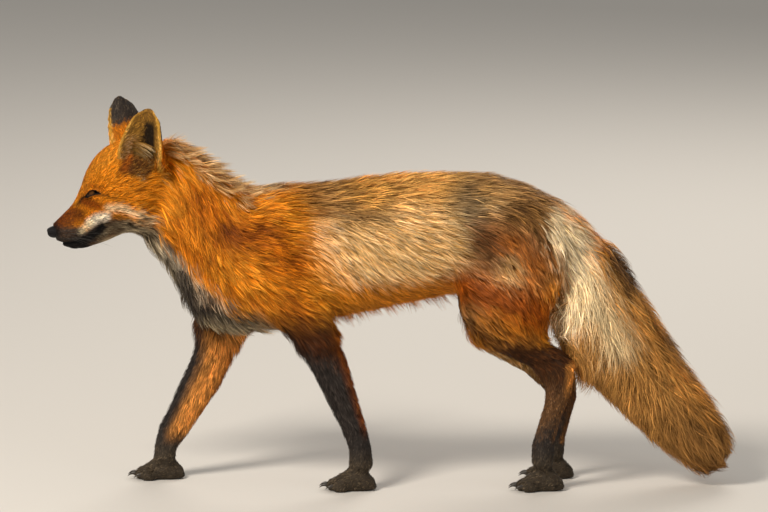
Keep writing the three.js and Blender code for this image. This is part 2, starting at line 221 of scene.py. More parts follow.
def hump(offset, width):
    """1 where offset is 0, and smoothly less on both sides of it."""
    return np.exp(-((offset / width) ** 2))


solid_points, solid_faces, solid_node = [], [], []
for node in FLESH + BALLS:
    points, faces = arrays_of(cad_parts[node].data)
    solid_faces.append(faces + sum(map(len, solid_points)))
    solid_points.append(points)
    solid_node += ["head" if node.startswith("eye") else node] * len(faces)
solid_points, solid_faces = np.concatenate(solid_points), np.concatenate(solid_faces)
welded, place_of = np.unique(np.round(solid_points, 3), axis=0, return_inverse=True)
swollen = piece_from("swollen", welded, place_of.reshape(-1)[solid_faces])
set_points(swollen.data, welded + OVERLAP * normals_of(swollen.data))
joiner = swollen.modifiers.new("join", "REMESH")
joiner.mode, joiner.voxel_size = "VOXEL", SKIN_GRAIN * MM
joined = worked(swollen)
shape, joined_faces = arrays_of(joined)
links = edges_of(joined)


def spread(values, links, weight, rounds):
    """Values on points, evened out over their neighbours; weight is how much each point gives way."""
    values = values.astype(float).copy()
    flat = values.reshape(len(values), -1)
    share = np.broadcast_to(np.asarray(weight, float), len(values))[:, None]
    count = np.bincount(links.ravel(), minlength=len(values))[:, None]
    for _ in range(rounds):
        mean = np.empty_like(flat)
        for axis in range(flat.shape[1]):
            column = flat[:, axis]
            mean[:, axis] = np.bincount(links[:, 0], column[links[:, 1]], len(values))
            mean[:, axis] += np.bincount(links[:, 1], column[links[:, 0]], len(values))
        flat += share * (mean / np.maximum(count, 1) - flat)
    return flat.reshape(values.shape)


solid_tree = BVHTree.FromPolygons(solid_points.tolist(), solid_faces.tolist())


def nodes_at(points):
    """The name of the solid nearest to each point."""
    return np.array([solid_node[solid_tree.find_nearest(Vector(p))[2]] for p in points])


def kinds_of(names):
    """The kinds of named solids: the first word, without the side."""
    return np.array([name.split("_")[0] for name in names])


def by_node(names, table, otherwise):
    return np.array([table.get(kind, otherwise) for kind in kinds_of(names)], float)


SOFTENING = {  # how far each part's facets are rounded off
    "trunk": 1, "neck": 1, "tail": 1, "shoulder": 0.8, "thigh": 0.8, "head": 0.5, "lower": 0.25,
    "ear": 0.12, "nose": 0.5, "forearm": 0.45, "shank": 0.45, "forefoot": 0.12, "hindfoot": 0.12,
}
COAT_DEPTH = {  # from the skin to the tips of the hairs, in mm
    "trunk": 14, "neck": 13, "tail": 18, "shoulder": 10, "thigh": 9, "lower": 0.8, "ear": 0.9, "nose": 0.9,
    "forearm": 3, "shank": 2.5, "forefoot": 1.6, "hindfoot": 1.6,
}
EAR_DEPTH = 0.7  # where the ears stand in the deep coat of the head
CREST_DEPTH = 11  # how much lower the skin lies under the crest
SOFT_ROUNDS, SHRINK, REGROW = 24, 0.55, -0.57  # each round softens and then swells, so nothing shrinks

node_at = nodes_at(shape)
give = spread(by_node(node_at, SOFTENING, 1), links, 0.5, 12)
wrist = 0.6 * step(20, 28, shape[:, 2]) * (1 - step(44, 60, shape[:, 2])) * (shape[:, 0] < 0)
give = np.maximum(give, wrist) * (0.25 + 0.75 * step(-408, -385, shape[:, 0]))
for _ in range(SOFT_ROUNDS):
    shape = spread(shape, links, SHRINK * give, 1)
    shape = spread(shape, links, REGROW * give, 1)


def crest_share(points, outward):
    """1 along the middle of the nape and withers, where the long hairs stand up."""
    x, y, _ = points.T
    return span(-312, -285, -190, -130, x) * (1 - step(12, 36, abs(y))) * step(0.1, 0.6, outward[:, 2])


def head_depth(points):
    """The coat is a velvet on the muzzle and deepens over the cheeks to the nape."""
    behind = np.interp(points[:, 0], [-425, -395, -370, -345, -315, -290], [0.4, 0.7, 1.4, 3, 6, 11])
    crown = step(385, 410, points[:, 2])
    return behind * (1 - 0.45 * crown)


def coat_depth(points, names, links, rounds):
    """How deep the coat is at each point, evened out where two parts of the animal meet."""
    depth = by_node(names, COAT_DEPTH, 0)
    on_head = names == "head"
    depth[on_head] = head_depth(points[on_head])
    return spread(depth, links, 0.5, rounds)


depth = coat_depth(shape, node_at, links, 150)
depth = spread(np.where(kinds_of(node_at) == "ear", EAR_DEPTH, depth), links, 0.5, 4)
rounded = piece_from("rounded", shape, joined_faces)
outward = unit(spread(normals_of(rounded.data), links, 0.5, 10))
bpy.data.objects.remove(rounded)
depth = depth + CREST_DEPTH * crest_share(shape, outward)
above_sole = step(3, 9, shape[:, 2])
shape = shape - outward * (depth * above_sole)[:, None]
shape = spread(shape, links, 0.3 * give, 4)
shape[:, 2] = np.maximum(shape[:, 2], 0)
set_points(joined, shape)

# Fewer, larger meshes where the coat is deep; two finer rounds of them for the lids and lips.
FINE_KINDS = ["head", "lower", "ear", "forefoot", "hindfoot"]
KEPT_SHARE = 0.42  # of all the meshes
eye_low, eye_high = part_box("eye_left")
EYE = np.array((eye_low + eye_high) / 2) / MM * (1, -1, 1)  # of the animal's right eye
EYE_ROUND = (eye_high.x - eye_low.x) / 2 / MM
LIDS_BEHIND = 1  # the middle of the lids lies this far behind the middle of the ball
plain = spread(by_node(node_at, dict.fromkeys(FINE_KINDS, 0), 1), links, 0.5, 8)
thinned = placed("thinned", joined)
spare = thinned.vertex_groups.new(name="spare")
for tenth in range(11):
    chosen = np.flatnonzero(np.round(plain * 10) == tenth).tolist()
    spare.add(chosen, tenth / 10, "REPLACE")
fewer = thinned.modifiers.new("fewer", "DECIMATE")
fewer.ratio, fewer.vertex_group, fewer.vertex_group_factor = KEPT_SHARE, "spare", 1
thin_mesh = worked(thinned)


def refine(mesh, chosen):
    """Halves the edges whose middles are chosen."""
    work = bmesh.new()
    work.from_mesh(mesh)
    middles = np.array([(e.verts[0].co + e.verts[1].co) / 2 for e in work.edges]) / MM
    edges = [edge for edge, wanted in zip(work.edges, chosen(middles)) if wanted]
    bmesh.ops.subdivide_edges(work, edges=edges, cuts=1, use_grid_fill=True)
    bmesh.ops.triangulate(work, faces=[face for face in work.faces if len(face.verts) > 3])
    work.to_mesh(mesh)
    work.free()


# The line of the lips from the nose to the corner, from the side: along and up.
MOUTH = [(-420, 311), (-409, 308.5), (-398, 308.8), (-390, 311), (-375, 318), (-365, 326), (-357, 335)]


def off_path(points, path):
    """How far each point lies from a path, both seen from the side, in mm."""
    flat, path = points[:, [0, 2]], np.array(path, float)
    nearest = np.full(len(points), 1e9)
    for start, end in zip(path[:-1], path[1:]):
        along = np.clip((flat - start) @ (end - start) / ((end - start) @ (end - start)), 0, 1)
        gap = np.linalg.norm(flat - start - along[:, None] * (end - start), axis=1)
        nearest = np.minimum(nearest, gap)
    return nearest


def off_eye(points):
    """How far each point lies from the middle of the lids, seen from the side, in mm."""
    return np.hypot(points[:, 0] - EYE[0] - LIDS_BEHIND, points[:, 2] - EYE[2])


refine(thin_mesh, lambda p: (off_eye(p) < 19) | (off_path(p, MOUTH) < 6) | (p[:, 0] < -395))
refine(thin_mesh, lambda p: (off_eye(p) < 14) & (abs(p[:, 1]) > 14) | (off_path(p, MOUTH) < 2.5))
shape, skin_faces = arrays_of(thin_mesh)

# The lids close over most of each eyeball and leave a narrow almond. Their edges run across and up
# from the middle of the eye.
UPPER_LID = [(-9.6, -6), (-7, -0.8), (-3.5, 3.0), (0.5, 4.5), (5, 4.3), (10.5, 1.4)]
LOWER_LID = [(-9.6, -6), (-6.5, -5.4), (-3, -3.0), (1, -1.2), (5, 0.2), (10.5, 1.4)]
LID = 1.5  # thickness over the eyeball
LID_RIM, LID_FOLD = 0.8, 0.9  # how far the rim stands up and the fold over the upper lid sinks in
TEAR_HOLLOW, UNDER_LID = 1.2, 3.2  # depth of the inner corner, and of the skin that turns in


def off_opening(points):
    """How far points lie outside the opening between the lids, seen from the side; less than 0 inside."""
    across, up = points[:, 0] - EYE[0], points[:, 2] - EYE[2]
    above = up - np.interp(across, *np.transpose(UPPER_LID))
    below = np.interp(across, *np.transpose(LOWER_LID)) - up
    ends = np.maximum(UPPER_LID[0][0] - across, across - UPPER_LID[-1][0])
    return np.maximum(np.maximum(above, below) * 0.85, ends)


def lidded(points):
    """Lays the skin round the eyeballs and opens it between the lids."""
    side = np.where(points[:, 1] < 0, -1, 1)
    outwards, gap = points[:, 1] * side, off_opening(points)
    across, up = points[:, 0] - EYE[0], points[:, 2] - EYE[2]
    away = off_eye(points)
    ball_y = EYE[1] + np.sqrt(np.maximum((EYE_ROUND + LID) ** 2 - (away * 0.92) ** 2, 0))
    over = np.where(away < (EYE_ROUND + LID) / 0.92, np.maximum(outwards, ball_y), outwards)
    over = over + LID_RIM * hump(gap - 1.2, 1.1)
    over = over - LID_FOLD * hump(gap - 4.6, 1.2) * ((up > 2) & (away < 16))
    over = over - TEAR_HOLLOW * hump(np.hypot(across + 13, up + 9), 3)
    sunk = np.minimum(over, EYE[1] + EYE_ROUND) - UNDER_LID
    over = np.where(gap < 0, sunk + (over - sunk) * step(-0.9, 0, gap), over)
    here = (outwards > 12) & (away < 24)
    moved = points.copy()
    moved[here, 1] = (over * side)[here]
    return moved


# The lips part along a groove with a soft roll beside it, and the nose leather has its own seat.
LIP_GROOVE, LIP_ROLL = 1.8, 0.5
nose_low, nose_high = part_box("nose")
NOSE = np.array((nose_low + nose_high) / 2) / MM
NOSE_HALF = np.array((nose_high - nose_low) / 2) / MM


def lipped(points, outward):
    """Sinks the skin along the line of the lips and raises it a little beside it."""
    near = off_path(points, MOUTH)
    return points - outward * (LIP_GROOVE * hump(near, 1.0) - LIP_ROLL * hump(near - 2.6, 1.4))[:, None]


def off_nose(points):
    """1 on the surface of the nose leather, more outside it and less inside."""
    return np.linalg.norm((points - NOSE) / NOSE_HALF, axis=1)


def seated(points):
    """Sinks the skin under the nose leather, to leave room for the nostrils."""
    ahead = 1 - step(-0.1, 0.7, (points[:, 0] - NOSE[0]) / NOSE_HALF[0])
    near = (1 - step(1.1, 1.35, off_nose(points))) * ahead
    return points + 0.5 * near[:, None] * (NOSE + (4, 0, 0) - points)


# The skin draws in between the toes.
PAWS = {"forefoot": (66, 43, 31), "hindfoot": (64, 40, 30)}  # length, width and height
CLAW_AHEAD = 8  # how far a paw's solid reaches ahead of its toes
TOE_GAPS = (-0.245, 0, 0.245)  # across, in shares of the paw's width
GAP_DEPTH, GAP_WIDTH = 2.6, 1.7


def paws():
    """Length, width and height of each paw, and the middle of the front of its toes on the floor."""
    for foot, sizes in PAWS.items():
        for name in ("left", "right"):
            low, high = (np.array(corner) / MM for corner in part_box(f"{foot}_{name}"))
            yield *sizes, np.array((low[0] + CLAW_AHEAD, (low[1] + high[1]) / 2, 0))


def toed(points, outward):
    """Sinks the skin between the toes, as far back as their roots."""
    sunk = np.zeros(len(points))
    for length, width, height, front in paws():
        x, y, z = (points - front).T
        along = (1 - step(0.22, 0.42, x / length)) * (x > -12) * (abs(y) < width)
        below = 1 - step(height, height + 6, z)
        for gap in TOE_GAPS:
            sunk = np.maximum(sunk, GAP_DEPTH * hump(y - gap * width, GAP_WIDTH) * along * below)
    return points - outward * sunk[:, None]


skin = piece_from("skin", shape, skin_faces)
outward = normals_of(skin.data)
shape = seated(toed(lipped(lidded(shape), outward), outward))
shape[:, 2] = np.maximum(shape[:, 2], 0)
set_points(skin.data, shape)
skin.data.update()
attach(skin, "root")
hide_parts(*FLESH)

# An unwrap of the skin's own shape, which every tuft takes its place on.
bpy.context.view_layer.objects.active = skin
skin.select_set(True)
bpy.ops.object.mode_set(mode="EDIT")
bpy.ops.mesh.select_all(action="SELECT")
bpy.ops.uv.smart_project(angle_limit=1.2, island_margin=0.002)
bpy.ops.object.mode_set(mode="OBJECT")
skin.select_set(False)
skin.data.uv_layers[0].name = "OFBake"

# ---------------------------------------------------------------- Markings
# The pigment of the hairs: flame orange on the head, neck and shoulders, grizzled buff along
# the back, pale flanks, white cheeks and throat, black legs, ears and lips. Some zones add painted
# shade (the throat and breast, the lower neck, the folds, the jowls, the ears' hollows) and painted
# light (the inner face of the far foreleg). The skin and the hairs over it take their colours from
# the same zones.

DYES = {
    "flame": (214, 122, 14), "rust": (150, 72, 14), "deep": (92, 46, 18), "gold": (244, 180, 66),
    "amber": (206, 128, 38), "buff": (224, 172, 98), "cream": (250, 228, 180), "white": (250, 240, 218),
    "ash": (140, 122, 98), "slate": (78, 68, 56), "mink": (122, 84, 50), "umber": (74, 48, 28),
    "soot": (60, 54, 51), "black": (20, 17, 16), "straw": (206, 150, 80), "olive": (160, 116, 54),
    "tan": (240, 160, 78),
}


def dye(name):
    return (np.array(DYES[name]) / 255) ** 2.2


# name of the zone, its middle line seen from the side, half width, softness, dye, dye of the tips, strength
ZONES = [
    ("body", [(0, 305), (110, 320)], 96, 50, "buff", "cream", 1),
    ("saddle", [(-98, 372), (-30, 362)], 30, 40, "mink", "buff", 0.95),
    ("middle back", [(-28, 392), (95, 392)], 30, 30, "straw", "gold", 0.8),
    ("ribs", [(-78, 322), (-30, 266)], 18, 34, "buff", "white", 0.85),
    ("flank", [(-40, 305), (75, 300)], 30, 40, "buff", "cream", 0.9),
    ("belly edge", [(-110, 232), (-60, 244), (85, 254)], 20, 26, "amber", "amber", 1),
    ("croup", [(120, 392), (185, 375)], 20, 26, "mink", "buff", 0.85),
    ("band", [(92, 372), (112, 330), (140, 310)], 18, 34, "slate", "ash", 0.8),
    ("haunch", [(125, 322), (165, 338), (190, 296)], 28, 40, "mink", "rust", 0.9),
    ("hip rust", [(150, 318), (182, 290), (176, 262)], 12, 26, "rust", "amber", 0.7),
    ("hip", [(150, 352), (200, 352)], 16, 24, "umber", "straw", 0.8),
    ("loin mark", [(108, 316), (124, 290)], 12, 20, "umber", "mink", 0.8),
    ("thigh", [(98, 262), (140, 245), (180, 230)], 30, 44, "rust", "rust", 0.95),
    ("thigh light", [(120, 226), (160, 214)], 8, 22, "amber", "amber", 0.6),
    ("low thigh", [(84, 222), (125, 196), (180, 176)], 18, 40, "umber", "mink", 0.9),
    ("tail", [(262, 280), (405, 30)], 90, 20, "straw", "mink", 1),
    ("tail end", [(380, 78), (400, 45)], 34, 50, "mink", "straw", 0.8),
    ("tail top", [(236, 345), (300, 262), (350, 178), (400, 104)], 18, 26, "straw", "amber", 0.7),
    ("tail root", [(204, 335), (232, 312), (242, 262), (232, 225)], 21, 24, "cream", "white", 0.95),
    ("tail crown", [(222, 356), (264, 324)], 8, 18, "amber", "gold", 0.75),
    ("tail side", [(250, 252), (285, 185)], 18, 34, "cream", "cream", 0.8),
    ("gland", [(284, 288), (300, 258)], 12, 16, "umber", "soot", 0.9),
    ("tail patch", [(338, 190), (362, 165)], 8, 20, "umber", "mink", 0.6),
    ("neck", [(-300, 400), (-250, 330), (-188, 370), (-158, 304), (-112, 232)], 62, 84, "flame", "gold", 1),
    # painted shade: rust laid low on the neck, where its underside falls in shade
    ("neck painted shade", [(-262, 330), (-236, 296)], 16, 40, "rust", "flame", 0.8),
    ("withers", [(-236, 372), (-205, 335), (-150, 322), (-120, 290)], 24, 44, "rust", "flame", 0.9),
    # painted shade: deep brown laid in the fold between neck and shoulder
    ("shoulder fold shade", [(-205, 330), (-172, 330)], 10, 34, "deep", "rust", 0.8),
    ("shoulder light", [(-130, 364), (-114, 336)], 12, 24, "flame", "gold", 1),
    ("chest side", [(-225, 262), (-150, 235), (-110, 225)], 16, 34, "rust", "amber", 0.6),
    ("upper arm", [(-122, 248), (-102, 228)], 14, 26, "rust", "amber", 0.8),
    # throat and breast: their white-grey is laid over with soot and slate, painted shade for the shaded
    # underside of the neck
    ("throat", [(-345, 316), (-302, 312), (-275, 282), (-256, 248), (-228, 218), (-176, 200)], 22, 16,
     "soot", "ash", 1),
    ("throat edge", [(-300, 318), (-262, 290), (-236, 262), (-205, 238)], 7, 14, "ash", "white", 0.8),
    ("breast", [(-262, 258), (-235, 234), (-205, 208), (-170, 198)], 16, 20, "soot", "slate", 0.95),
    # painted shade: deep brown laid in the fold between the cheek and the neck
    ("cheek fold shade", [(-297, 398), (-293, 362)], 3, 9, "deep", "rust", 0.7),
    ("slit front", [(-228, 289), (-221, 300)], 1.4, 3, "black", "deep", 0.9),
    ("slit back", [(-209, 325), (-197, 344)], 1.2, 3, "black", "deep", 0.85),
    ("head", [(-420, 330), (-380, 360), (-345, 380), (-330, 400)], 52, 16, "flame", "gold", 1),
    ("forehead", [(-345, 425), (-378, 398), (-392, 366)], 9, 14, "amber", "gold", 0.6),
    ("temple", [(-352, 392), (-333, 376)], 13, 20, "flame", "gold", 0.8),
    ("bridge", [(-418, 331), (-398, 350)], 6, 9, "rust", "amber", 0.75),
    ("under eye", [(-380, 363), (-362, 361)], 6, 8, "rust", "deep", 0.9),
    ("tear", [(-380, 369), (-388, 358)], 1.4, 3.5, "black", "umber", 0.9),
    ("eye corner", [(-362, 376.5), (-352, 375), (-338, 371)], 1.1, 3, "umber", "umber", 0.9),
    ("muzzle side", [(-410, 334), (-388, 346)], 10, 12, "deep", "rust", 0.85),
    # whisker pad: its own dark brown, deepened further as painted shade under the muzzle
    ("whisker pad", [(-414, 319), (-388, 322)], 9.5, 8, "soot", "slate", 0.95),
    ("nose surround", [(-416, 329), (-414, 314)], 5, 8, "black", "soot", 0.9),
    ("upper lip", [(-414, 314), (-396, 313), (-380, 320), (-368, 329)], 3.5, 5, "soot", "slate", 0.95),
    ("ruff", [(-348, 358), (-333, 360), (-314, 354), (-293, 342)], 4.5, 10, "cream", "white", 0.75),
    # jowl: dark umber, partly its own colour and partly painted shade under the jaw
    ("shaded jowl", [(-356, 330), (-330, 335), (-306, 325)], 13, 10, "umber", "slate", 1),
    ("cheek", [(-372, 337), (-362, 345), (-352, 347)], 5.5, 8, "white", "white", 0.95),
    ("cheek front", [(-383, 326), (-371, 338)], 3.5, 8, "cream", "white", 0.8),
    ("chin", [(-408, 300), (-386, 305), (-371, 313), (-359, 323)], 10, 5, "black", "soot", 1),
    ("lip corner", [(-370, 322), (-355, 334)], 4.6, 4, "black", "soot", 1),
    ("jaw", [(-368, 306), (-352, 316)], 6, 8, "umber", "ash", 0.9),
]
HEAD_ZONES = ("head", "forehead", "temple", "bridge", "cheek", "ruff")
HOCK, NEAR_HEEL = [(232, 154), (230, 126)], [(228, 128), (218, 95), (209, 66)]
FAR_HEEL = [(236, 128), (234, 100), (227, 72), (220, 50)]


def zone_share(points, path, wide, soft):
    """1 within a zone along a path, 0 outside it, and between over its soft edge."""
    return 1 - step(wide - soft / 2, wide + soft / 2, off_path(points, path))


def markings(points, outward, shares, chance):
    """Dyes of the hairs and of their tips at places on the skin; chance, from 0 to 1, frays the edges."""
    x, y, z = points.T
    hair, tip = (np.tile(dye(name), (len(points), 1)) for name in ("flame", "gold"))
    stray, off_face = (chance - 0.5)[:, None], step(-330, -250, x)[:, None]
    frayed = points + stray * (24, 0, 14) * off_face + stray * (5, 0, 4) * (1 - off_face)

    def lay_on(share, first, second):
        hair[:] += share[:, None] * (dye(first) - hair)
        tip[:] += share[:, None] * (dye(second) - tip)

    is_tail, is_head, is_ear, hind = (shares[part] for part in ("tail", "head", "ear", "hind"))
    fore = shares["fore"] + shares["shoulder"] * (1 - step(200, 250, z))
    is_leg = fore + hind
    for zone, path, wide, soft, first, second, strength in ZONES:
        share = strength * zone_share(points if "slit" in zone else frayed, path, wide, soft)
        if zone == "tail root":
            share = share * np.maximum(is_tail, step(192, 204, frayed[:, 0]))
        elif zone.startswith("tail"):
            share = share * is_tail
        elif zone in HEAD_ZONES:
            share = share * np.maximum(is_head, shares["neck"])
        elif zone == "neck":
            share = share * (1 - is_tail)
        lay_on(share, first, second)

    # the crest of the neck, and the underside
    crest = step(0.1, 0.8, outward[:, 2]) * (1 - step(8, 24, abs(y))) * span(-300, -280, -150, -110, x)
    lay_on(0.85 * crest, "amber", "cream")
    lay_on(0.85 * crest * step(-275, -240, x), "mink", "cream")
    under = step(0.35, 0.8, -outward[:, 2]) * (1 - is_leg) * step(-372, -352, x) * (1 - is_ear)
    lay_on(0.85 * under * (1 - step(-150, -100, x)), "ash", "cream")
    lay_on(0.9 * under * span(-130, -90, 60, 120, x), "amber", "amber")

    # the legs: black in front and below, rust behind, tan and straw on the inner faces; the far foreleg's tan
    # is painted light
    near, far = y < 0, y > 0
    inner, behind = step(-0.1, 0.5, -outward[:, 1] * np.sign(y)), step(0.25, 0.8, outward[:, 0])
    height = z + 30 * (chance - 0.5)
    lay_on(fore * (1 - step(205, 250, height - 10 * near)), "umber", "deep")
    lay_on(fore * (1 - step(150, 200, height + 16 * outward[:, 0])), "soot", "soot")
    # painted light: the inner face of the far foreleg is laid tan, lighter than its own orange-brown, to make
    # up for the shade it stands in
    lay_on(fore * far * inner * step(40, 75, z) * step(-0.6, 0.1, outward[:, 0]), "tan", "tan")
    lay_on(0.6 * fore * behind * step(60, 90, z), "rust", "amber")
    lay_on(hind, "umber", "deep")
    lay_on(hind * (1 - step(95, 160, height)), "mink", "ash")
    lay_on(hind * (1 - step(60, 110, height - 8 * outward[:, 0])), "soot", "slate")
    lay_on(is_leg * (1 - step(25, 60, z)), "slate", "ash")
    lay_on(hind * zone_share(points, HOCK, 8, 13) * near, "tan", "tan")
    heel = np.maximum(zone_share(points, NEAR_HEEL, 4, 8) * near, zone_share(points, FAR_HEEL, 5, 6) * far)
    lay_on(0.85 * hind * heel, "mink", "amber")
    lay_on(0.7 * hind * inner * step(110, 150, z), "straw", "cream")

    # the ears: black behind, olive and cream-haired inside, with a gold rim; their hollows and the floor
    # below them are darkened with painted shade
    across, up, within = in_ear(points, outward)
    inside, floor = is_ear * step(-0.15, 0.2, within), ear_floor(points, outward)
    # painted shade: the floor of each ear's hollow, on the side of the head, is laid dark umber
    lay_on(0.9 * floor, "umber", "olive")
    lay_on(0.8 * floor * step(0.2, 0.5, across), "rust", "amber")
    leaf = is_ear * (1 - floor * step(-0.15, 0.2, within))
    lay_on(leaf, "flame", "gold")
    lay_on(leaf * step(0.57, 0.65, up + 0.12 * (chance - 0.5)), "soot", "ash")
    lay_on(inside, "olive", "gold")
    # painted shade: the back of the hollow inside each ear is laid black
    hollow = step(-0.7, -0.5, across) * (1 - step(0.0, 0.25, across + 0.3 * (chance - 0.5)))
    lay_on(0.95 * inside * hollow * span(0.1, 0.25, 0.72, 0.88, up), "black", "soot")
    lay_on(0.8 * inside * step(0.15, 0.4, across) * (1 - step(0.4, 0.6, up)), "straw", "white")
    rim = step(0.8, 0.93, abs(across) + 0.12 * (chance - 0.5)) * (inside + (across > 0)).clip(0, 1)
    lay_on(0.85 * leaf * rim, "gold", "cream")

    # the bare rims of the lids, the lips and the edge of the nose leather
    lids = (1 - step(0.3, 1.2, off_opening(points))) * (abs(y) > 14) * is_head * (x < -340)
    lips = (1 - step(1.6, 3.2, off_path(points, MOUTH))) * is_head
    for bald in (lids, lips, 1 - step(0.95, 1.15, off_nose(points))):
        lay_on(bald, "black", "black")
    return hair, tip


EARS = {  # root, tip, and how far the opening turns outwards from straight ahead, in degrees
    -1: ((-313, -33, 401), (-299, -53, 485), 74),
    1: ((-312, 33, 401), (-342, 53, 484.5), 60),
}
EAR_HALF, EAR_LEAF = 28, 0.46  # half the ear's width, and how blunt its outline is
HOLLOW_AHEAD = 20  # from an ear's leaf to the middle of its hollow


def ear_ways(side):
    """Root and length of an ear, and its ways: up it, into its opening and to its front edge."""
    root, tip, facing = EARS[side]
    rise = np.subtract(tip, root)
    height = np.linalg.norm(rise)
    rise = rise / height
    turn = math.radians(facing)
    opening = np.array((-math.cos(turn), side * math.sin(turn), 0))
    opening -= (opening @ rise) * rise
    opening /= np.linalg.norm(opening)
    return np.array(root), height, rise, opening, -side * np.cross(opening, rise)


def in_ear(points, outward):
    """Places on an ear: from its back edge (-1) to its front (1), up it (0 to 1), and whether inside."""
    across, up, within = np.zeros((3, len(points)))
    for side in EARS:
        here = points[:, 1] * side > 0
        root, height, rise, opening, front = ear_ways(side)
        off = points[here] - root
        share = off @ rise / height
        leaf = (1 - np.clip(share, 0, 0.97) ** 2) ** EAR_LEAF
        across[here], up[here] = off @ front / (EAR_HALF * leaf), share
        hollow = root + share[:, None] * height * rise + HOLLOW_AHEAD * opening
        within[here] = (outward[here] * unit(hollow - points[here])).sum(axis=1)
    return across, up, within


def ear_floor(points, outward):
    """1 on the side of the head where it makes the floor of an ear's hollow."""
    across, up, within = in_ear(points, outward)
    ahead = np.zeros(len(points))
    for side in EARS:
        here = points[:, 1] * side > 0
        root, _, _, opening, _ = ear_ways(side)
        ahead[here] = (points[here] - root) @ opening
    share = (1 - step(0.6, 0.85, abs(across))) * span(-0.1, 0.04, 0.34, 0.46, up)
    return share * step(0.15, 0.4, within) * span(-15, -10, 8, 14, ahead)


def dye_mesh(mesh, colours):
    layer = mesh.attributes.new("pigment", "FLOAT_COLOR", "POINT")
    rows = np.column_stack([colours, np.ones(len(colours))])
    layer.data.foreach_set("color", rows.astype(np.float32).ravel())


def pigment_of(build):
    """A socket with the colour laid on a mesh by dye_mesh."""
    return build.node("ShaderNodeAttribute", {"attribute_name": "pigment"})


node_at = nodes_at(shape)
edges = edges_of(skin.data)
smooth_out = unit(spread(normals_of(skin.data), edges, 0.5, 6))
PARTS = {  # the kinds of solids in each part, and how many rounds even out its edge
    "head": (["head", "lower", "nose"], 3), "neck": (["neck"], 34), "tail": (["tail"], 34),
    "ear": (["ear"], 3), "fore": (["forearm", "forefoot"], 34), "hind": (["shank", "hindfoot"], 34),
    "shoulder": (["shoulder"], 34),
}
share_at = {}
for part, (kinds, rounds) in PARTS.items():
    share_at[part] = spread(np.isin(kinds_of(node_at), kinds), edges, 0.5, rounds)
# painted shade: the skin under the coat is dyed darker than the hairs, partly as grey underfur and partly as
# the shade deep in the coat
SKIN_UNDERFUR_AND_SHADE = 0.62  # how much darker the skin is than the hairs over it
rng = np.random.default_rng(11)
skin_dye, _ = markings(shape, smooth_out, share_at, rng.random(len(shape)))
dye_mesh(skin.data, skin_dye * SKIN_UNDERFUR_AND_SHADE)

velvet, shader, build = finish_of("skin_velvet", Roughness=0.75, Specular_IOR_Level=0.25)
grain = build.node("ShaderNodeTexNoise", Scale=900.0, Detail=3.0)
(grain * 0.5 + 0.75).blend((0, 0, 0, 1), pigment_of(build)).into(shader, "Base Color")
build.node("ShaderNodeBump", Height=grain, Strength=0.35, Distance=0.0008).into(shader, "Normal")
skin.data.materials.append(velvet)

# ---------------------------------------------------------------- Coat
# Fine tapering locks of hair, each rooted in the skin, that rise from it, lie over and follow
# the lie of the coat: backwards over the head, down the neck and legs, back along the flanks
# and out along the tail. Neighbouring locks draw together at their tips.

HAIR_LENGTH = {  # along the hair, in mm
    "trunk": 42, "neck": 40, "tail": 54, "shoulder": 37, "thigh": 28, "lower": 5, "ear": 4,
    "forearm": 11, "shank": 11, "forefoot": 4.5, "hindfoot": 4.5,
}
NOSE_TIP = np.array((-428, 0, 318))
WHORL = np.array((-214, 0, 300))  # where the hairs of the neck and of the shoulder part
HOCK_HEIGHT, PAW_HEIGHT = 152, 30  # where the hairs of the hind legs and of the paws turn


def hair_length(points, names):
    """How long the hairs are at each point, in mm, along their whole curve."""
    x, y, z = points.T
    length = by_node(names, HAIR_LENGTH, 0)
    head, jaw = names == "head", names == "lower_jaw"
    length[head] = np.interp(x[head], [-420, -395, -370, -345, -315, -290], [2.5, 4, 6, 10, 20, 32])
    crown = head & (z > 385)
    length[crown] = np.minimum(length[crown], 9 + 20 * step(-330, -300, x[crown]))
    length[jaw] = np.interp(x[jaw], [-400, -340], [3, 12])
    face = (x < -335) & (abs(y) > 12)
    length[face] = np.minimum(length[face], 1.3 + 0.7 * np.maximum(off_opening(points[face]), 0))
    across, up, within = in_ear(points, smooth_out)
    length = length + ear_floor(points, smooth_out) * (5 - length)
    on_ear = (4 + 4 * step(0, 0.3, within) * step(0, 0.4, across)) * (1 - 0.6 * step(0.8, 0.97, up))
    return np.where(kinds_of(names) == "ear", on_ear, length)


